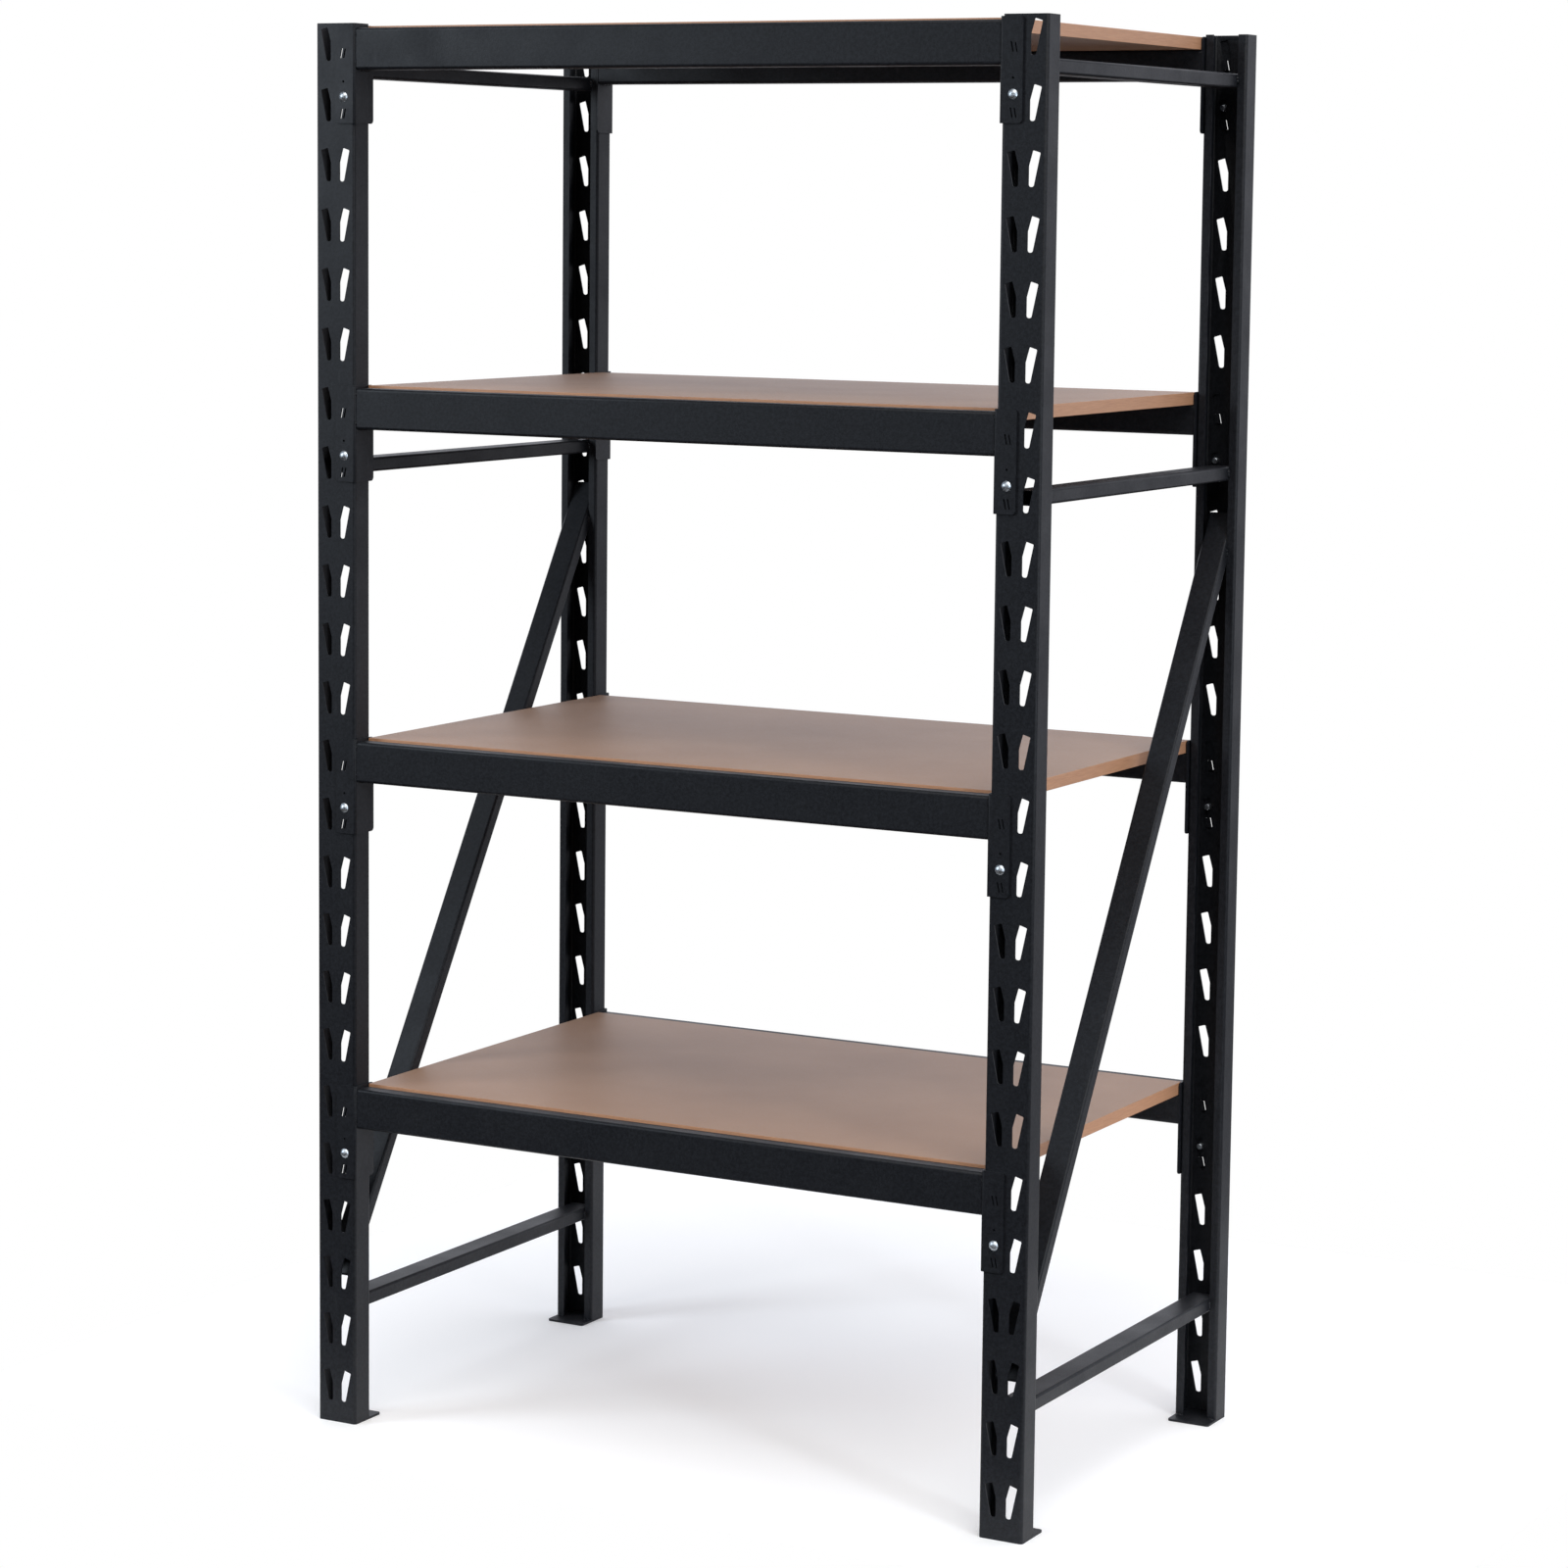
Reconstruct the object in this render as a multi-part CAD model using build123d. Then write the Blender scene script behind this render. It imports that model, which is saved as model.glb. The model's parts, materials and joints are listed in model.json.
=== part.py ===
from build123d import *
from math import asin, cos, sin
import os

# Boltless shelving, four levels: two welded side frames, a stepped box beam at the front
# and the rear of every level, and a loose board resting on each pair of beams.
# Millimetres, +Z up. X runs along the shelves, Y from the front to the rear.
# The origin lies on the floor under the middle of the bay.

# ---- driving dimensions ----
upright_height = 1800.0       # floor to the top of an upright
bay_width = 900.0             # clear distance between the left and right uprights
frame_depth = 620.0           # outer face to outer face of the front and rear uprights

# upright: cold formed channel with two return lips
upright_face = 58.0           # web, across X
upright_flange = 34.0         # depth, along Y
upright_wall = 1.6
upright_lip = 12.0            # return lip, outside size
upright_bend = 4.0            # outer bend radius

# tapered slots, two columns leaning in a V, one pair per row
slot_pitch = 75.0
slot_outer_inset = 7.5        # outer top corner, from the edge of the web
slot_top_width = 10.0
slot_bottom_inset = 15.8      # outer edge at the foot of the slot
slot_inner_inset = 22.5       # straight inner edge
slot_top_drop = 5.0           # highest corner below the row line
slot_shoulder_drop = 3.0      # outer top corner below the highest one
slot_knee_drop = 18.0         # where the inner edge turns upright
slot_length = 42.0
slot_top_radius = 1.4
slot_foot_radius = 2.9

# foot plate welded under each upright
foot_plate_length = 58.0
foot_plate_thickness = 3.0
foot_plate_corner = 4.0

# braces of a side frame: rounded tube that fits between the lips
brace_height = 18.0
brace_wall = 1.5
brace_radius = 3.0
brace_end_gap = 12.0          # from the end of a brace to the inside of the web
top_brace_drop = 58.0         # brace centre below the top of the upright
middle_brace_drop = 555.5
bottom_brace_rise = 156.0     # brace centre above the floor
diagonal_top_drop = 102.0     # diagonal at the rear lip, below the middle brace
diagonal_foot_rise = 87.0     # diagonal at the front lip, above the bottom brace

# shelves
level_rows = (18, 12, 6, 0)   # slot row from the top at each level, lowest level first
beam_height = 52.0
beam_top_width = 25.0
beam_ledge = 13.0             # ledge that the board rests on
beam_wall = 1.5
beam_radius = 4.0
beam_top_drop = 6.0           # beam top below the row line
board_thickness = 16.0
board_rise = 3.0              # board top above the beam top
board_gap = 1.0               # round the edge of a board

# end connector: angle plate welded to the end of a beam
connector_plate = 2.0
connector_top_drop = 2.5      # connector top below the row line
connector_face_cover = 27.0   # how far the face leg reaches over the web
connector_leg_margin = 0.7    # side leg past the inner edge of the beam
connector_tail = 6.0          # plate below the foot of the lower hook
connector_corner = 5.0
connector_bend = 3.0
connector_gap = 0.3           # between a connector and its upright
hook_depth = 12.0             # height of a pressed hook
hook_width = 2.8
hook_rise = 3.5               # foot of a hook above the foot of its slot
hook_side_gap = 0.4           # between a hook and the leaning edge of its slot
hook_head_overlap = 2.4       # the head is wider than the neck by this on each side
hook_head = 1.6               # thickness of the head behind the web
hook_web_gap = 0.4            # between the head and the inside of the web
lance_width = 2.0             # open cut along each side of a hook
sight_hole_radius = 1.5
sight_hole_rise = 2.3         # above the row line of the lower slot

# lock pin through the connector and the slot below the beam
pin_radius = 4.0
pin_clearance = 0.1
pin_drop = 16.5               # below the row line of the lower slot
pin_reach = 6.0               # past the inside of the web
pin_tip = 1.0
pin_head_radius = 6.3
pin_head_height = 3.5

# ---- worked out from the values above ----
half_bay = bay_width / 2
half_depth = frame_depth / 2
upright_centre = half_bay + upright_face / 2
row_count = int((upright_height - foot_plate_thickness) // slot_pitch) + 1
lowest_slot = foot_plate_thickness + upright_wall
lip_plane = half_depth - upright_flange
brace_width = upright_face - 2 * upright_lip
brace_end = half_depth - upright_wall - brace_end_gap
top_brace_z = upright_height - top_brace_drop
middle_brace_z = upright_height - middle_brace_drop
slot_foot_drop = slot_top_drop + slot_length
shoulder_drop = slot_top_drop + slot_shoulder_drop
outer_edge_lean = (slot_bottom_inset - slot_outer_inset) / (slot_foot_drop - shoulder_drop)
inner_edge_lean = (slot_inner_inset - slot_outer_inset - slot_top_width) / slot_knee_drop
hook_foot_drop = slot_foot_drop - hook_rise
hook_drop = hook_foot_drop - hook_depth
hook_lean = outer_edge_lean * hook_depth
hook_inset = slot_outer_inset + outer_edge_lean * (hook_drop - shoulder_drop) + hook_side_gap
pin_outer_edge = slot_outer_inset + outer_edge_lean * (pin_drop - shoulder_drop)
pin_inner_edge = slot_outer_inset + slot_top_width + inner_edge_lean * (pin_drop - slot_top_drop)
pin_inset = (pin_outer_edge + pin_inner_edge) / 2
connector_height = slot_pitch + hook_foot_drop + connector_tail - connector_top_drop
side_leg_outside = half_bay - connector_gap
side_leg_inside = side_leg_outside - connector_plate
face_leg_back = half_depth + connector_gap
face_leg_front = face_leg_back + connector_plate
leg_end = -half_depth + beam_top_width + beam_ledge + connector_leg_margin
beam_step = board_thickness - board_rise
cut_margin = 5.0              # how far a cutting tool stands past what it cuts


def placed(shape, side, end):
    """Front right piece, mirrored to the other side or end, or turned half round for both."""
    if side == "left" and end == "rear":
        return Rot(0, 0, 180) * shape
    if side == "left":
        return mirror(shape, about=Plane.YZ)
    if end == "rear":
        return mirror(shape, about=Plane.XZ)
    return shape


def front_prism(face, y_outer, y_inner):
    """Extrude a face drawn in X and Z between two distances in front of the middle."""
    return extrude(Plane.XZ.offset(y_inner) * face, amount=y_outer - y_inner)


def row_z(row):
    """Height of a slot row line, counted down from the top of the upright."""
    return upright_height - row * slot_pitch


def slot_face(row):
    """Tapered slot of the column nearest the bay on the front right upright."""
    top = row_z(row) - slot_top_drop
    foot = top - slot_length
    points = [
        (half_bay + slot_outer_inset, top - slot_shoulder_drop),
        (half_bay + slot_outer_inset + slot_top_width, top),
        (half_bay + slot_inner_inset, top - slot_knee_drop),
        (half_bay + slot_inner_inset, foot),
        (half_bay + slot_bottom_inset, foot),
    ]
    face = make_face(Polyline(points, close=True))
    foot_corners = face.vertices().sort_by(Axis.Y)[:2]
    face = fillet(foot_corners, slot_foot_radius)
    top_corners = face.vertices().sort_by(Axis.Y)[-2:]
    return fillet(top_corners, slot_top_radius)


def upright():
    """Front right upright with both columns of slots."""
    outside = RectangleRounded(upright_face, upright_flange, upright_bend)
    inside_radius = upright_bend - upright_wall
    inside = RectangleRounded(upright_face - 2 * upright_wall, upright_flange - 2 * upright_wall, inside_radius)
    mouth = Pos(0, upright_flange / 2) * Rectangle(brace_width, 2 * upright_bend)
    section = outside - inside - mouth
    base = Pos(upright_centre, -half_depth + upright_flange / 2, foot_plate_thickness)
    channel = extrude(base * section, amount=upright_height - foot_plate_thickness)
    web_inside = half_depth - upright_wall - cut_margin
    middle = Plane(origin=(upright_centre, 0, 0), z_dir=(1, 0, 0))
    cutters = []
    for row in range(row_count):
        if row_z(row) - slot_foot_drop > lowest_slot:
            cutter = front_prism(slot_face(row), half_depth + cut_margin, web_inside)
            cutters += [cutter, mirror(cutter, about=middle)]
    return channel - cutters


def foot_plate():
    """Front right foot plate."""
    outline = RectangleRounded(upright_face, foot_plate_length, foot_plate_corner)
    return extrude(Pos(upright_centre, -half_depth + foot_plate_length / 2) * outline, amount=foot_plate_thickness)


def brace_section():
    """Rounded tube section, width across X and height in the frame's plane."""
    outside = RectangleRounded(brace_width, brace_height, brace_radius)
    inside_radius = brace_radius - brace_wall
    inside = RectangleRounded(brace_width - 2 * brace_wall, brace_height - 2 * brace_wall, inside_radius)
    return outside - inside


def level_brace(z):
    """Right horizontal brace at height z."""
    start = Plane(origin=(upright_centre, brace_end, z), x_dir=(1, 0, 0), z_dir=(0, -1, 0))
    return extrude(start * brace_section(), amount=2 * brace_end)


def diagonal_brace():
    """Right diagonal, from low at the front to high at the rear, cut upright at both ends."""
    foot = Vector(upright_centre, -lip_plane, bottom_brace_rise + diagonal_foot_rise)
    head = Vector(upright_centre, lip_plane, middle_brace_z - diagonal_top_drop)
    run = head - foot
    overrun = run.normalized() * (2 * upright_flange)
    start = Plane(origin=foot - overrun, x_dir=(1, 0, 0), z_dir=run)
    bar = extrude(start * brace_section(), amount=run.length + 2 * overrun.length)
    limits = Pos(upright_centre, 0, 0) * Box(2 * upright_face, 2 * brace_end, 2 * upright_height)
    return bar & limits


def beam_outline(beam_top, inset):
    """Stepped box outline of the front beam, drawn in Y and Z and shrunk by inset."""
    outer = -half_depth + inset
    step_back = -half_depth + beam_top_width - inset
    ledge_end = -half_depth + beam_top_width + beam_ledge - inset
    top = beam_top - inset
    ledge = beam_top - beam_step - inset
    foot = beam_top - beam_height + inset
    points = [(outer, foot), (outer, top), (step_back, top), (step_back, ledge), (ledge_end, ledge), (ledge_end, foot)]
    face = make_face(Polyline(points, close=True))
    inner_corner = face.vertices().sort_by_distance((step_back, ledge))[0]
    rounded = [corner for corner in face.vertices() if corner != inner_corner]
    return fillet(rounded, beam_radius - inset)


def beam(beam_top):
    """Front beam between the side legs of its two connectors."""
    section = beam_outline(beam_top, 0) - beam_outline(beam_top, beam_wall)
    start = Plane(origin=(-side_leg_inside, 0, 0), x_dir=(0, 1, 0), z_dir=(1, 0, 0))
    return extrude(start * section, amount=2 * side_leg_inside)


def leaning_face(row_line, grow, shift):
    """Leaning outline of a hook in X and Z, widened by grow and moved sideways by shift."""
    top = row_line - hook_drop
    foot = top - hook_depth
    left = half_bay + hook_inset + shift
    points = [
        (left - grow, top),
        (left + hook_width + grow, top),
        (left + hook_lean + hook_width + grow, foot),
        (left + hook_lean - grow, foot),
    ]
    return make_face(Polyline(points, close=True))


def hook(row_line):
    """Pressed hook: a neck through the slot and a wider head behind the web."""
    head_front = half_depth - upright_wall - hook_web_gap
    neck = front_prism(leaning_face(row_line, 0, 0), face_leg_back, head_front)
    head = front_prism(leaning_face(row_line, hook_head_overlap, 0), head_front, head_front - hook_head)
    return neck + head


def lances(row_line):
    """The two open cuts beside a hook."""
    cuts = []
    for shift in (-(hook_width + lance_width) / 2, (hook_width + lance_width) / 2):
        width_change = (lance_width - hook_width) / 2
        outline = leaning_face(row_line, width_change, shift)
        cuts.append(front_prism(outline, face_leg_front + cut_margin, face_leg_back))
    return cuts


def connector(row):
    """End connector of the front beam on the right upright."""
    top = row_z(row) - connector_top_drop
    foot = top - connector_height
    face_end = half_bay + connector_face_cover
    points = [
        (side_leg_inside, -face_leg_front),
        (face_end, -face_leg_front),
        (face_end, -face_leg_back),
        (side_leg_outside, -face_leg_back),
        (side_leg_outside, leg_end),
        (side_leg_inside, leg_end),
    ]
    section = make_face(Polyline(points, close=True))
    outer_bend = section.vertices().sort_by_distance((side_leg_inside, -face_leg_front))[0]
    section = fillet(outer_bend, connector_bend)
    plate = extrude(Pos(0, 0, foot) * section, amount=connector_height)
    face_corners = plate.edges().filter_by(Axis.Y).sort_by(Axis.X)[-2:]
    leg_corners = plate.edges().filter_by(Axis.X).sort_by(Axis.Y)[-2:]
    plate = fillet(face_corners + leg_corners, connector_corner)
    pin_z = row_z(row + 1) - pin_drop
    pin_hole = Pos(half_bay + pin_inset, pin_z) * Circle(pin_radius + pin_clearance)
    sight_hole = Pos(half_bay + pin_inset, row_z(row + 1) + sight_hole_rise) * Circle(sight_hole_radius)
    for hole in (pin_hole, sight_hole):
        plate -= front_prism(hole, face_leg_front + cut_margin, face_leg_back - upright_wall)
    for hook_row in (row, row + 1):
        plate = plate - lances(row_z(hook_row)) + hook(row_z(hook_row))
    return plate


def lock_pin(row):
    """Front right lock pin: plain shank, domed head outside the connector."""
    shank = connector_plate + connector_gap + upright_wall + pin_reach
    ball_radius = (pin_head_radius**2 + pin_head_height**2) / (2 * pin_head_height)
    half_sweep = asin(pin_head_radius / ball_radius) / 2
    dome_middle = (ball_radius * sin(half_sweep), pin_head_height - ball_radius * (1 - cos(half_sweep)))
    dome = ThreePointArc((pin_head_radius, 0), dome_middle, (0, pin_head_height))
    points = [
        (0, pin_head_height),
        (0, -shank),
        (pin_radius - pin_tip, -shank),
        (pin_radius, -shank + pin_tip),
        (pin_radius, 0),
        (pin_head_radius, 0),
    ]
    profile = make_face(Polyline(points) + dome)
    pin = Rot(0, 0, 180) * revolve(profile, Axis.Y)
    return Pos(half_bay + pin_inset, -face_leg_front, row_z(row + 1) - pin_drop) * pin


def board(beam_top):
    """Loose board between the steps of the front and rear beams."""
    length = 2 * (side_leg_inside - board_gap)
    depth = 2 * (half_depth - beam_top_width - board_gap)
    return Pos(0, 0, beam_top + board_rise - board_thickness / 2) * Box(length, depth, board_thickness)


# ---- build and write every piece ----
os.makedirs("parts", exist_ok=True)
pieces = {}

upright_piece = upright()
foot_piece = foot_plate()
for side in ("left", "right"):
    for end in ("front", "rear"):
        pieces[f"upright_{end}_{side}"] = placed(upright_piece, side, end)
        pieces[f"foot_plate_{end}_{side}"] = placed(foot_piece, side, end)
    pieces[f"brace_top_{side}"] = placed(level_brace(top_brace_z), side, "front")
    pieces[f"brace_middle_{side}"] = placed(level_brace(middle_brace_z), side, "front")
    pieces[f"brace_bottom_{side}"] = placed(level_brace(bottom_brace_rise), side, "front")
    pieces[f"brace_diagonal_{side}"] = placed(diagonal_brace(), side, "front")

for level, row in enumerate(level_rows, start=1):
    beam_top = row_z(row) - beam_top_drop
    beam_piece = beam(beam_top)
    connector_piece = connector(row)
    pin_piece = lock_pin(row)
    pieces[f"board_{level}"] = board(beam_top)
    for end in ("front", "rear"):
        pieces[f"beam_{end}_{level}"] = placed(beam_piece, "right", end)
        for side in ("left", "right"):
            pieces[f"connector_{end}_{side}_{level}"] = placed(connector_piece, side, end)
            pieces[f"lock_pin_{end}_{side}_{level}"] = placed(pin_piece, side, end)

for name, piece in pieces.items():
    export_step(piece, f"parts/{name}.step")
    print(name, round(piece.volume))
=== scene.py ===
# %% [markdown]
# # A boltless steel rack, from its frame to its finish
#
# Two welded side frames carry four pairs of beams, and a loose fibreboard lies on each pair.
# The steel comes ready made as a fixed frame: every node is already at its real place and size,
# in metres, with +Z up. This lesson loads it, sets up a small studio round it, gives each part
# the finish that it has on a real rack, and adds the weld beads that hold the steel together.

# %% Load the frame
import json
from math import ceil, pi, radians, sin

import bmesh
import bpy
from mathutils import Matrix, Vector


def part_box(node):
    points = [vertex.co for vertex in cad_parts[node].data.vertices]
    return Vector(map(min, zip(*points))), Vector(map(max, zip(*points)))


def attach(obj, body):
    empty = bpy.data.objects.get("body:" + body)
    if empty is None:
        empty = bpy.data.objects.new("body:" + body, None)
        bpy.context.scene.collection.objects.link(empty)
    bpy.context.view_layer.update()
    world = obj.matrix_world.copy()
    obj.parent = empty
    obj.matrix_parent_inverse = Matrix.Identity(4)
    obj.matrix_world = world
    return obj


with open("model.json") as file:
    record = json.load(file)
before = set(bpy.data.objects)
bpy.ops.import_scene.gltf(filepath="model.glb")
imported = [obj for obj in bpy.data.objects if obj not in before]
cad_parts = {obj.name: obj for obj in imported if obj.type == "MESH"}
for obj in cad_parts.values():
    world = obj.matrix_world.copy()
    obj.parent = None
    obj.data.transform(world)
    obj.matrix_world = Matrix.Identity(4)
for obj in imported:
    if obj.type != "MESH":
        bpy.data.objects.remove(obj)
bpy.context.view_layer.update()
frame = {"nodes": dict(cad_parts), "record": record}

# %% [markdown]
# ## Names for the corners and the shelves
#
# The rack has four uprights and four shelves, and their nodes are named by end, side and level.
# The corners are listed once, so that later cells can walk over them. Every place is read from a
# node's own box, so a rack of another size would still get its beads in the corners.

# %% Walk over the rack
ENDS = ("front", "rear")
SIDES = ("left", "right")
LEVELS = (1, 2, 3, 4)
MM = 0.001

corners = [(end, side) for end in ENDS for side in SIDES]
outward = {"front": -1, "rear": 1}    # along Y


def lying(node):
    """Lowest and highest corner of the box that a node lies in."""
    low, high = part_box(node)
    return low, high


upright_low, upright_high = lying("upright_front_right")
print("upright is", round((upright_high.z - upright_low.z) / MM), "mm long")

# %% [markdown]
# ## The camera
#
# A rack this tall is seen from a few metres away through a long lens, or its uprights would lean.
# The camera stands to the right of the front and looks slightly down at it. A small vertical
# shift keeps the uprights nearly parallel while the whole rack stays in the frame.

# %% Place the camera
CAMERA_PLACE = Vector((2.569, -4.674, 1.577))
CAMERA_TURN = 28.77         # degrees to the left of straight ahead
CAMERA_TILT = -6.54         # degrees above the horizon
CAMERA_ROLL = 0.62          # degrees
LEVEL_TURN = 90             # degrees from looking straight down to looking level
SENSOR_WIDTH = 36           # millimetres
LENS = 95.9                 # millimetres
SHIFT_Y = -0.0625           # share of the sensor's width
FAR_LIMIT = 60              # metres

camera_data = bpy.data.cameras.new("studio_camera")
camera_data.lens = LENS
camera_data.sensor_width = SENSOR_WIDTH
camera_data.shift_y = SHIFT_Y
camera_data.clip_end = FAR_LIMIT
camera = bpy.data.objects.new("studio_camera", camera_data)
turn = Matrix.Rotation(radians(CAMERA_TURN), 4, "Z")
tilt = Matrix.Rotation(radians(LEVEL_TURN + CAMERA_TILT), 4, "X")
roll = Matrix.Rotation(radians(CAMERA_ROLL), 4, "Z")
camera.matrix_world = Matrix.Translation(CAMERA_PLACE) @ turn @ tilt @ roll
bpy.context.scene.collection.objects.link(camera)
bpy.context.scene.camera = camera
print("camera is", round(CAMERA_PLACE.length, 2), "m from the foot of the rack")

# %% [markdown]
# ## Shader arithmetic
#
# A finish is easier to read as a formula than as a web of nodes. A `Wire` holds one socket, and
# adding or multiplying it makes the Math node for it. A `Shader` is the node tree of a material
# or of the world, and its `node` method makes any other node from its type, its settings and the
# values or wires of its sockets.

# %% Wires and shaders


class Wire:
    """A socket that can be added, multiplied and compared."""

    def __init__(self, shader, socket):
        self.shader = shader
        self.socket = socket

    def math(self, operation, first, second=0.0):
        """A Math node on two values or wires."""
        return self.shader.node("ShaderNodeMath", {"operation": operation}, {0: first, 1: second})

    def __add__(self, other):
        return self.math("ADD", self, other)

    def __sub__(self, other):
        return self.math("SUBTRACT", self, other)

    def __rsub__(self, other):
        return self.math("SUBTRACT", other, self)

    def __mul__(self, other):
        return self.math("MULTIPLY", self, other)

    def __gt__(self, other):
        return self.math("GREATER_THAN", self, other)

    def __abs__(self):
        return self.math("ABSOLUTE", self)

    __radd__ = __add__
    __rmul__ = __mul__


class Shader:
    """The node tree of a material or of the world."""

    def __init__(self, owner):
        self.owner = owner
        owner.use_nodes = True
        self.tree = owner.node_tree
        self.tree.nodes.clear()

    def node(self, kind, settings, values, output=0):
        """A node with its settings, then its socket values or wires; returns one output."""
        made = self.tree.nodes.new(kind)
        for setting, value in settings.items():
            setattr(made, setting, value)
        for socket, value in values.items():
            if isinstance(value, Wire):
                self.tree.links.new(value.socket, made.inputs[socket])
            else:
                made.inputs[socket].default_value = value
        return Wire(self, made.outputs[output]) if made.outputs else made

    def ramp(self, value, start, stop, low=0.0, high=1.0):
        """Goes from low to high while the value goes from start to stop."""
        values = {"Value": value, "From Min": start, "From Max": stop, "To Min": low, "To Max": high}
        return self.node("ShaderNodeMapRange", {}, values)

    def blend(self, share, first, second):
        """A colour between two others."""
        return self.node("ShaderNodeMix", {"data_type": "RGBA"}, {0: share, 6: first, 7: second}, 2)

    def axis(self, vector, name):
        """One of the X, Y and Z parts of a vector."""
        return self.node("ShaderNodeSeparateXYZ", {}, {"Vector": vector}, name)

    def place(self):
        """Object coordinates, which are metres in the rack's own frame."""
        return self.node("ShaderNodeTexCoord", {}, {}, "Object")

    def noise(self, size, detail=2.0, stretch=(1, 1, 1)):
        """Smooth noise from 0 to 1 with lumps of a given size in metres, longer along a stretch."""
        scale = tuple(1 / (size * factor) for factor in stretch)
        spot = self.node("ShaderNodeMapping", {}, {"Vector": self.place(), "Scale": scale})
        return self.node("ShaderNodeTexNoise", {}, {"Vector": spot, "Scale": 1.0, "Detail": detail})

    def bump(self, height, depth):
        """A normal from a height of 0 to 1 that stands for a depth in metres."""
        return self.node("ShaderNodeBump", {}, {"Height": height, "Distance": depth, "Strength": 1.0})

    def finish(self, values):
        """A finished material, from the values of its surface shader's sockets."""
        surface = self.node("ShaderNodeBsdfPrincipled", {}, values)
        self.node("ShaderNodeOutputMaterial", {}, {"Surface": surface})
        print("finish", self.owner.name, "has", len(self.tree.nodes), "nodes")
        return self.owner


# %% [markdown]
# ## A pale studio
#
# Black powder coat shows its shape only by what it reflects. A bright wall stands behind the
# rack and draws the thin faces that point sideways, while the room in front of it is dim, so
# that the broad front faces stay black. Two bluish panels stand at the left and right: one
# lightens the top of the left upright, and the other draws a line along every bend. A soft sun
# stands for the ceiling lamps, and lights the boards from above the front.

# %% Lamps
AIM = Vector((0, 0, 0.9))
LAMP_WHITE = (1.0, 0.98, 0.95)
PANEL_BLUE = (0.82, 0.91, 1.0)
CEILING_STRENGTH = 2.2      # watts on a square metre
CEILING_WIDTH = 60          # degrees of sky that the ceiling lamps fill
LEFT_PANEL_POWER = 110      # watts
RIGHT_PANEL_POWER = 70


def lamp(name, kind, place, energy, colour, **settings):
    """A lamp that faces the rack."""
    data = bpy.data.lights.new(name, kind)
    data.energy = energy
    data.color = colour
    for setting, value in settings.items():
        setattr(data, setting, value)
    light = bpy.data.objects.new(name, data)
    facing = (AIM - place).to_track_quat("-Z", "Y").to_matrix().to_4x4()
    light.matrix_world = Matrix.Translation(place) @ facing
    bpy.context.scene.collection.objects.link(light)
    print(name, kind.lower(), energy)


lamp(
    "ceiling", "SUN", Vector((1.8, -2.4, 5.0)), CEILING_STRENGTH, LAMP_WHITE,
    angle=radians(CEILING_WIDTH),
)
lamp(
    "left_panel", "AREA", Vector((-3.5, -3.4, 2.5)), LEFT_PANEL_POWER, PANEL_BLUE,
    shape="RECTANGLE", size=1.8, size_y=2.2,
)
lamp(
    "right_panel", "AREA", Vector((4.2, -2.2, 1.4)), RIGHT_PANEL_POWER, PANEL_BLUE,
    shape="RECTANGLE", size=0.5, size_y=2.6,
)

# %% [markdown]
# ## The walls of the studio
#
# The world is what the rack sees where there is no lamp: a bright wall with a touch of blue behind
# it, a dim room in front, and a warm dark ground beyond the sheet that it stands on. Each fades
# into the next over a range of directions. The camera itself sees plain white everywhere.

# %% Walls
WALL_BEHIND = (1.10, 1.12, 1.22, 1)
ROOM_IN_FRONT = (0.085, 0.092, 0.108, 1)
GROUND = (0.05, 0.04, 0.035, 1)
PLAIN_WHITE = (1, 1, 1, 1)
WALL_FADE = (-0.15, 0.45)   # Y part of a direction, from the room in front to the wall
GROUND_FADE = (-0.04, -0.30)  # Z part of a direction, from the walls down to the ground

walls = Shader(bpy.data.worlds.new("studio_walls"))
bpy.context.scene.world = walls.owner
direction = walls.node("ShaderNodeTexCoord", {}, {}, "Generated")
behind = walls.ramp(walls.axis(direction, "Y"), *WALL_FADE)
below = walls.ramp(walls.axis(direction, "Z"), *GROUND_FADE)
lit = walls.blend(behind, ROOM_IN_FRONT, WALL_BEHIND)
lit = walls.blend(below, lit, GROUND)
seen = walls.node("ShaderNodeLightPath", {}, {}, "Is Camera Ray")
shown = walls.blend(seen, lit, PLAIN_WHITE)
backdrop = walls.node("ShaderNodeBackground", {}, {"Color": shown})
walls.node("ShaderNodeOutputWorld", {}, {"Surface": backdrop})
bpy.context.scene.view_settings.view_transform = "Standard"
print("walls have", len(walls.tree.nodes), "nodes")

# %% [markdown]
# ## Black powder coat
#
# The steel is sprayed with a dry powder that melts into a skin a tenth of a millimetre thick.
# It never flows quite flat: it keeps a fine pebbled grain and a slower orange peel under it, and
# both together shade the colour and the bump. The colour is a black with a little blue in it.
# The gloss changes in soft patches and from grain to grain. Boards and boxes leave faint grey
# rub marks on it.

# %% Colours and grain of the powder coat
COAT_DARK = (0.0070, 0.0076, 0.0096, 1)
COAT_LIGHT = (0.0150, 0.0165, 0.0205, 1)
COAT_RUBBED = (0.0500, 0.0520, 0.0570, 1)
RUBBED_SHARE = 0.25         # how much of a rub mark shows
STEEL_ROUGHNESS = (0.40, 0.56)
WELD_ROUGHNESS = (0.22, 0.34)
COAT_SPECULAR = 0.22

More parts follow.
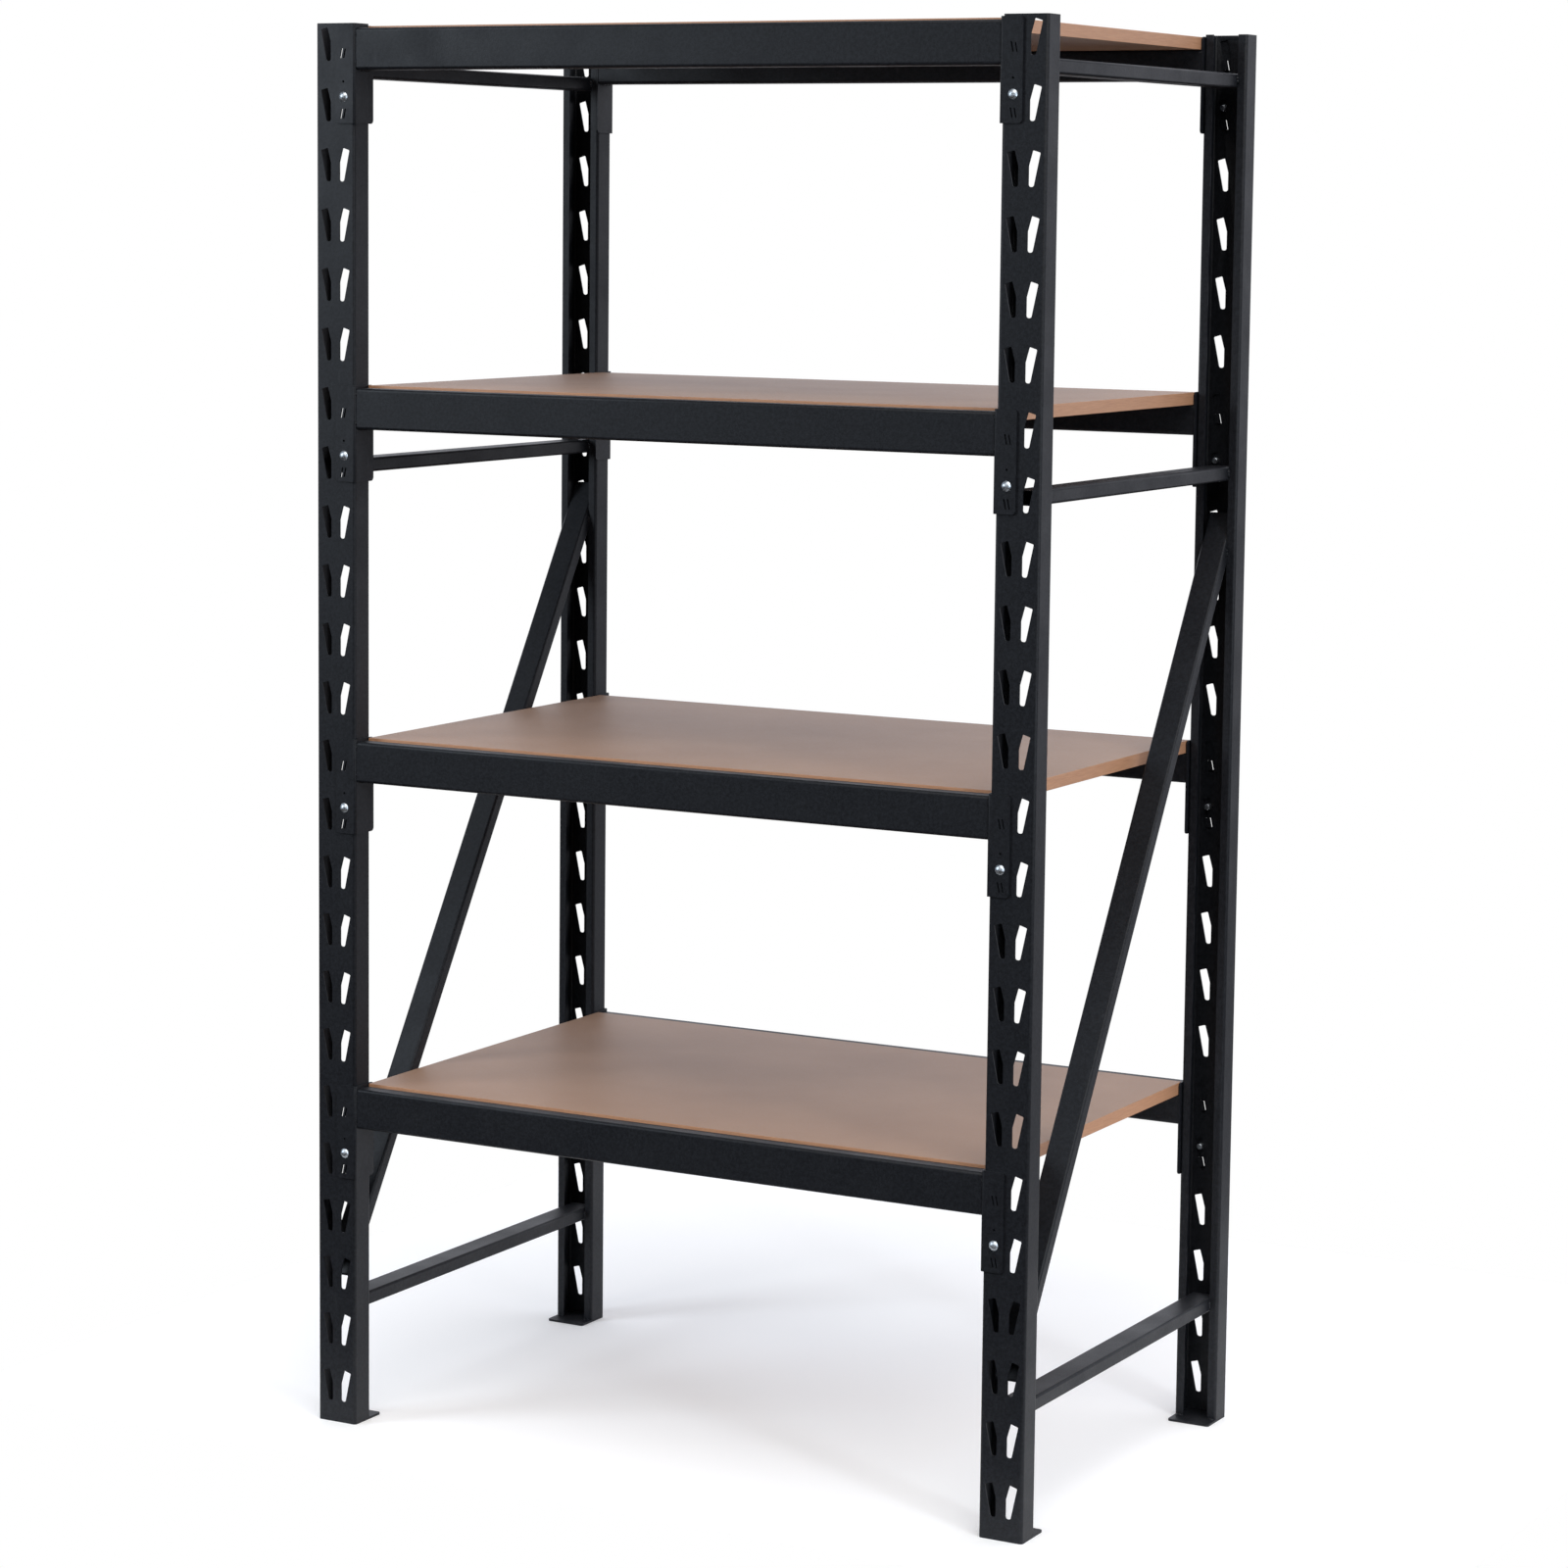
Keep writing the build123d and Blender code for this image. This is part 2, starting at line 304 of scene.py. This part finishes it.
PEBBLE_SIZE = 1.3 * MM
PEEL_SIZE = 4.5 * MM
PATCH_SIZE = 60 * MM
STREAK_SIZE = 9 * MM
STREAK_STRETCH = (1, 1, 6)
PEBBLE_SHARE = 0.6          # of the skin; the orange peel is the rest
PEEL_SHARE = 0.4
SKIN_DEPTH = 0.16 * MM
GLOSS_SHARE = 0.5           # patches and pebbles count alike for the gloss
SKIN_SPAN = (0.38, 0.62)    # skin values from the dark to the light colour
GLOSS_SPAN = (0.35, 0.65)   # noise values from the smoothest to the roughest coat
STREAK_SPAN = (0.66, 0.74)  # noise values where a streak fades in
PATCH_SPAN = (0.52, 0.64)   # the same for a patch
print("pebbles of", round(PEBBLE_SIZE / MM, 1), "mm on peel of", round(PEEL_SIZE / MM, 1), "mm")

# %% [markdown]
# Noise seldom comes near 0 or 1, so each mix goes through a ramp that stretches the middle of it
# over the whole range of the finish. A rub mark needs two ramps at once: it shows only where a
# patch and an upright streak are both high. A painted image could do the same, but a formula has
# no seams and is as sharp close up as from afar.

# %% Mix the powder coat


def powder_coat(name, roughness_range):
    """Black powder coat whose roughness varies over a range."""
    coat = Shader(bpy.data.materials.new(name))
    pebbles = coat.noise(PEBBLE_SIZE)
    peel = coat.noise(PEEL_SIZE, detail=1.0)
    patches = coat.noise(PATCH_SIZE, detail=3.0)
    streaks = coat.noise(STREAK_SIZE, detail=4.0, stretch=STREAK_STRETCH)
    rubbed = coat.ramp(streaks, *STREAK_SPAN) * coat.ramp(patches, *PATCH_SPAN)
    skin = PEBBLE_SHARE * pebbles + PEEL_SHARE * peel
    gloss = GLOSS_SHARE * patches + GLOSS_SHARE * pebbles
    colour = coat.blend(coat.ramp(skin, *SKIN_SPAN), COAT_DARK, COAT_LIGHT)
    return coat.finish({
        "Base Color": coat.blend(RUBBED_SHARE * rubbed, colour, COAT_RUBBED),
        "Roughness": coat.ramp(gloss, *GLOSS_SPAN, *roughness_range),
        "Specular IOR Level": COAT_SPECULAR,
        "Normal": coat.bump(skin, SKIN_DEPTH),
    })


steel_finish = powder_coat("black_powder_coat_grained", STEEL_ROUGHNESS)
weld_finish = powder_coat("black_powder_coat_on_weld", WELD_ROUGHNESS)

# %% [markdown]
# ## Raw fibreboard
#
# The shelves are plain sawn board with no lacquer. The faces are sanded: close up they show
# short pale and dark fibres, and from a step back they are clouded in soft patches. The sawn
# edges are more orange, and show fine level lines from the saw and from the layers of the board.

# %% Colours and fibres of the board
BOARD_PALE = (0.370, 0.222, 0.142, 1)
BOARD_DEEP = (0.300, 0.172, 0.106, 1)
BOARD_FLECK = (0.180, 0.106, 0.066, 1)
EDGE_PALE = (0.560, 0.292, 0.162, 1)
EDGE_DEEP = (0.440, 0.216, 0.116, 1)
BOARD_ROUGHNESS = (0.44, 0.58)
BOARD_SPECULAR = 0.50
EDGE_SKIN = 0.2 * MM        # how near the edge face counts as edge

CLOUD_SIZE = 170 * MM
FIBRE_SIZE = 1.1 * MM
FIBRE_STRETCH = (3, 1, 1)
FLECK_SIZE = 2.6 * MM
FLECK_STRETCH = (1.6, 1, 1)
FLECK_SHARE = 0.35          # how much of a fleck shows
LAYER_SIZE = 0.8 * MM
LAYER_STRETCH = (30, 30, 1)
FIBRE_DEPTH = 0.12 * MM
CLOUD_SHARE = 0.55          # of the colour of a face; the fibres are the rest
FIBRE_SHARE = 0.45
LAYER_SHARE = 0.6           # of the colour of a sawn edge; the fibres are the rest
SAWN_FIBRE_SHARE = 0.4
FACE_SPAN = (0.36, 0.64)    # noise values from the deep to the pale colour of a face
SAWN_SPAN = (0.34, 0.66)    # the same on a sawn edge
FLECK_SPAN = (0.66, 0.76)   # noise values where a fleck fades in
SANDED_SPAN = (0.3, 0.7)    # noise values from the smoothest to the roughest fibre
print("clouds of", round(CLOUD_SIZE / MM), "mm over fibres of", round(FIBRE_SIZE / MM, 1), "mm")

# %% [markdown]
# Faces and edges could be two materials, but they are one board, so one material holds both and a
# mask chooses between them. The mask compares the place with the size of a board, since all four
# boards are alike. The fibres run along the shelf, and the layers of the edge lie level.

# %% Mix the fibreboard
board_low, board_high = lying("board_1")
print("board edges at", round(board_low.x / MM, 1), "and", round(board_high.x / MM, 1), "mm")


def fibreboard():
    """Sanded fibreboard with sawn edges."""
    board = Shader(bpy.data.materials.new("raw_fibreboard"))
    end_face = abs(board.axis(board.place(), "X")) > board_high.x - EDGE_SKIN
    long_face = abs(board.axis(board.place(), "Y")) > board_high.y - EDGE_SKIN
    edge = end_face.math("MAXIMUM", end_face, long_face)
    clouds = board.noise(CLOUD_SIZE, detail=3.0)
    fibres = board.noise(FIBRE_SIZE, detail=3.0, stretch=FIBRE_STRETCH)
    flecks = board.noise(FLECK_SIZE, stretch=FLECK_STRETCH)
    layers = board.noise(LAYER_SIZE, stretch=LAYER_STRETCH)
    sanded = board.ramp(CLOUD_SHARE * clouds + FIBRE_SHARE * fibres, *FACE_SPAN)
    face = board.blend(sanded, BOARD_DEEP, BOARD_PALE)
    face = board.blend(FLECK_SHARE * board.ramp(flecks, *FLECK_SPAN), face, BOARD_FLECK)
    lines = board.ramp(LAYER_SHARE * layers + SAWN_FIBRE_SHARE * fibres, *SAWN_SPAN)
    sawn = board.blend(lines, EDGE_DEEP, EDGE_PALE)
    height = (1 - edge) * fibres + edge * layers
    return board.finish({
        "Base Color": board.blend(edge, face, sawn),
        "Roughness": board.ramp(fibres, *SANDED_SPAN, *BOARD_ROUGHNESS),
        "Specular IOR Level": BOARD_SPECULAR,
        "Normal": board.bump(height, FIBRE_DEPTH),
    })


board_finish = fibreboard()

# %% [markdown]
# ## Bright zinc
#
# The lock pins are barrel plated: blue white zinc, bright but a little worn where the pins have
# knocked against each other. One cloudy noise makes the plating duller in places and breaks up
# its gloss, and a few shallow dents bend the reflections.

# %% Mix the zinc plate
ZINC_BRIGHT = (0.70, 0.75, 0.80, 1)
ZINC_DULL = (0.42, 0.46, 0.50, 1)
ZINC_ROUGHNESS = (0.34, 0.52)
WEAR_SIZE = 2.2 * MM
WEAR_SPAN = (0.35, 0.65)    # noise values from the dull to the bright colour
ZINC_GLOSS_SPAN = (0.3, 0.7)  # noise values from the smoothest to the roughest plating
DENT_SIZE = 3.4 * MM
DENT_DEPTH = 0.45 * MM


def zinc_plate():
    """Blue white zinc plate."""
    zinc = Shader(bpy.data.materials.new("bright_zinc_plate"))
    wear = zinc.noise(WEAR_SIZE)
    dents = zinc.noise(DENT_SIZE, detail=1.0)
    return zinc.finish({
        "Base Color": zinc.blend(zinc.ramp(wear, *WEAR_SPAN), ZINC_DULL, ZINC_BRIGHT),
        "Metallic": 1.0,
        "Roughness": zinc.ramp(wear, *ZINC_GLOSS_SPAN, *ZINC_ROUGHNESS),
        "Normal": zinc.bump(dents, DENT_DEPTH),
    })


pin_finish = zinc_plate()

# %% [markdown]
# ## Dress the frame
#
# Each node of the frame already says which finish it takes, so one loop dresses all sixty.

# %% Give every node its finish
finishes = {"black_powder_coat": steel_finish, "mdf_board": board_finish, "zinc_pin": pin_finish}
for part in frame["record"]["subparts"]:
    for held in frame["nodes"][part["node"]].material_slots:
        held.material = finishes[part["material_slot"]]

# %% [markdown]
# ## Soft edges
#
# Blanked steel and sawn board are never razor sharp: powder pulls back from a corner and leaves
# it round, and that round edge is what draws a thin line of light round every plate. The edges
# could be faked in the shading, but three modifiers make them real. The frame comes as loose
# triangles, so Weld joins them, Decimate melts each flat face into one, and Bevel rounds every
# edge that is sharper than a bend.

# %% Round the edges
EDGE_ROUND = {"black_powder_coat": 0.35 * MM, "mdf_board": 0.6 * MM, "zinc_pin": 0.2 * MM}
WELD_REACH = 0.01 * MM
FLAT_ANGLE = 0.5            # degrees
SHARP_ANGLE = 40            # degrees, more than between two facets of a bend
EDGE_SEGMENTS = 2


def soften(node, width):
    """Join, flatten and round the mesh of a frame node."""
    join = node.modifiers.new("join", "WELD")
    join.merge_threshold = WELD_REACH
    flat = node.modifiers.new("flat", "DECIMATE")
    flat.decimate_type = "DISSOLVE"
    flat.angle_limit = radians(FLAT_ANGLE)
    edge = node.modifiers.new("edge", "BEVEL")
    edge.width = width
    edge.segments = EDGE_SEGMENTS
    edge.limit_method = "ANGLE"
    edge.angle_limit = radians(SHARP_ANGLE)
    edge.harden_normals = True


for part in frame["record"]["subparts"]:
    soften(frame["nodes"][part["node"]], EDGE_ROUND[part["material_slot"]])
print("rounded", len(frame["nodes"]), "nodes")

# %% [markdown]
# ## Weld beads
#
# A welder lays a bead as a row of small overlapping drops, so its surface is a ripple. It could
# be drawn as bumps in a material, but a bead stands proud of the steel and catches the light on
# its own, so it is modelled. One round cap is extruded step by step along the joint, and each
# new ring is made wider or narrower, with the two ends drawn in.

# %% A bead along a line
BEAD_SIDES = 10
BEAD_STEP = 0.8 * MM
RIPPLE_LENGTH = 2.4 * MM
RIPPLE_DEPTH = 0.16         # how much narrower the bead is between two drops
TIP_WIDTH = 0.35            # share of the full width at the very ends
TIP_SLOPE = 3.2             # how fast the share grows over the length of the bead


def lay_bead(mesh, start, stop, radius):
    """Add one closed, rippled bead from start to stop."""
    run = stop - start
    steps = ceil(run.length / BEAD_STEP)
    facing = Matrix.Translation(start) @ run.to_track_quat("Z", "X").to_matrix().to_4x4()
    cap = bmesh.ops.create_circle(mesh, cap_ends=True, segments=BEAD_SIDES, radius=1.0, matrix=facing)
    ring = cap["verts"]
    face = ring[0].link_faces[0]
    widths = []
    for step in range(steps + 1):
        along = step / steps
        drop = abs(sin(pi * along * run.length / RIPPLE_LENGTH))
        taper = min(1.0, TIP_SLOPE * min(along, 1 - along) + TIP_WIDTH)
        widths.append(radius * taper * (1 - RIPPLE_DEPTH * (1 - drop)))
    for vert in ring:
        vert.co = start + (vert.co - start) * widths[0]
    for step in range(1, steps + 1):
        grown = bmesh.ops.extrude_face_region(mesh, geom=[face])
        face = next(item for item in grown["geom"] if isinstance(item, bmesh.types.BMFace))
        centre = start + run * (step / steps)
        for vert in face.verts:
            arm = vert.co + run / steps - centre
            vert.co = centre + arm * (widths[step] / widths[step - 1])


def finished(mesh, name, body, material):
    """Turn a bmesh into a smooth object that rides on a body."""
    bmesh.ops.recalc_face_normals(mesh, faces=mesh.faces)
    data = bpy.data.meshes.new(name)
    mesh.to_mesh(data)
    mesh.free()
    data.shade_smooth()
    data.materials.append(material)
    piece = bpy.data.objects.new(name, data)
    bpy.context.scene.collection.objects.link(piece)
    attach(piece, body)
    print(name, len(data.polygons), "faces")


# %% [markdown]
# ## Where the side frames are welded
#
# Each brace passes between the two lips of an upright, and a short bead on either side ties it
# to them. The diagonal crosses the lips higher at one end than at the other, so the height of
# a brace is taken from its two ends. Each upright stands on its foot plate, with a bead behind
# each lip, where the plate reaches back, and one along the inside of each flange.

# %% Weld the side frames
BRACE_BEAD = 2.3 * MM
BRACE_BEAD_LENGTH = 10 * MM
FOOT_BEAD = 2.0 * MM
FOOT_BEAD_MARGIN = 2.0 * MM
LIP = 12 * MM
WALL = 1.6 * MM             # sheet of an upright
BEND = 4 * MM               # what a foot bead leaves free at the bends of an upright
END_REACH = 1 * MM          # how near the end of a brace counts as its end


def height_at(name, y):
    """Height of the middle of a brace where it passes a place along Y."""
    low, high = lying(name)
    ends = []
    verts = frame["nodes"][name].data.vertices
    for end_y in (low.y, high.y):
        heights = [vert.co.z for vert in verts if abs(vert.co.y - end_y) < END_REACH]
        ends.append((min(heights) + max(heights)) / 2)
    return ends[0] + (ends[1] - ends[0]) * (y - low.y) / (high.y - low.y)


frame_welds = bmesh.new()
for end, side in corners:
    low, high = lying(f"upright_{end}_{side}")
    inward = -outward[end]
    lip_y = high.y if end == "front" else low.y
    web_y = low.y if end == "front" else high.y
    for kind in ("top", "middle", "bottom", "diagonal"):
        brace = f"brace_{kind}_{side}"
        brace_low, brace_high = lying(brace)
        for x in (brace_low.x, brace_high.x):
            joint = Vector((x, lip_y, height_at(brace, lip_y)))
            half = Vector((0, 0, BRACE_BEAD_LENGTH / 2))
            lay_bead(frame_welds, joint - half, joint + half, BRACE_BEAD)
    plate_top = low.z
    for edge_x, way in ((low.x, 1), (high.x, -1)):
        start = Vector((edge_x + way * FOOT_BEAD_MARGIN, lip_y, plate_top))
        lay_bead(frame_welds, start, start + Vector((way * (LIP - FOOT_BEAD_MARGIN), 0, 0)), FOOT_BEAD)
        seam_x = edge_x + way * (WALL + FOOT_BEAD / 2)
        start = Vector((seam_x, web_y + inward * BEND, plate_top))
        stop = Vector((seam_x, lip_y - inward * BEND, plate_top))
        lay_bead(frame_welds, start, stop, FOOT_BEAD)
finished(frame_welds, "welds_side_frames", "side_frames", weld_finish)

# %% [markdown]
# ## Where the beams are welded
#
# The end of a beam meets the side leg of its connector. The strong bead is underneath, out of
# sight. On the outer face only two short tacks show, near the top and the bottom of the seam.

# %% Weld the beams
BEAM_BEAD = 1.9 * MM
BEAM_BEAD_MARGIN = 5 * MM
TACK = 0.9 * MM
TACK_LENGTH = 6 * MM

for level in LEVELS:
    for end in ENDS:
        low, high = lying(f"beam_{end}_{level}")
        face_y = low.y if end == "front" else high.y
        beam_welds = bmesh.new()
        for x in (low.x, high.x):
            start = Vector((x, low.y + BEAM_BEAD_MARGIN, low.z))
            lay_bead(beam_welds, start, Vector((x, high.y - BEAM_BEAD_MARGIN, low.z)), BEAM_BEAD)
            for foot in (low.z + BEAM_BEAD_MARGIN, high.z - BEAM_BEAD_MARGIN - TACK_LENGTH):
                start = Vector((x, face_y, foot))
                lay_bead(beam_welds, start, start + Vector((0, 0, TACK_LENGTH)), TACK)
        unit = f"{end}_beam_unit_{level}"
        finished(beam_welds, f"welds_{unit}", unit, weld_finish)

# %% [markdown]
# ## The floor
#
# The rack stands on a plain pale sheet, which catches the soft shadows of its feet and bounces
# light up under the boards. It ends close round the rack, because a wider one would be mirrored
# in the low faces of the steel, and it glows a little, so that its rim doesn't show against the
# white backdrop. It isn't part of the rack.

# %% Lay the floor
FLOOR_FRONT = 0.45          # how far the sheet reaches in front of the middle
FLOOR_BACK = 1.2
FLOOR_HALF_WIDTH = 1.0
SHEET_GLOW = 0.17           # lifts the sheet to the white that the camera sees
SHEET_GREY = (0.85, 0.85, 0.85, 1)
SHEET_PALE = (0.87, 0.87, 0.87, 1)
SHEET_CLOUD_SIZE = 0.9
SHEET_ROUGHNESS = 0.9

sheet = Shader(bpy.data.materials.new("pale_floor"))
sheet_finish = sheet.finish({
    "Base Color": sheet.blend(sheet.noise(SHEET_CLOUD_SIZE), SHEET_GREY, SHEET_PALE),
    "Roughness": SHEET_ROUGHNESS,
    "Emission Color": PLAIN_WHITE,
    "Emission Strength": SHEET_GLOW,
})
floor_mesh = bmesh.new()
spread = Matrix.Translation((0, (FLOOR_BACK - FLOOR_FRONT) / 2, 0)) @ Matrix.Diagonal(
    (FLOOR_HALF_WIDTH, (FLOOR_BACK + FLOOR_FRONT) / 2, 1, 1)
)
bmesh.ops.create_grid(floor_mesh, x_segments=1, y_segments=1, size=1, matrix=spread)
floor_data = bpy.data.meshes.new("studio_floor")
floor_mesh.to_mesh(floor_data)
floor_mesh.free()
floor_data.materials.append(sheet_finish)
floor = bpy.data.objects.new("studio_floor", floor_data)
bpy.context.scene.collection.objects.link(floor)
print("floor reaches", FLOOR_FRONT, "m to the front and", FLOOR_BACK, "m to the back")
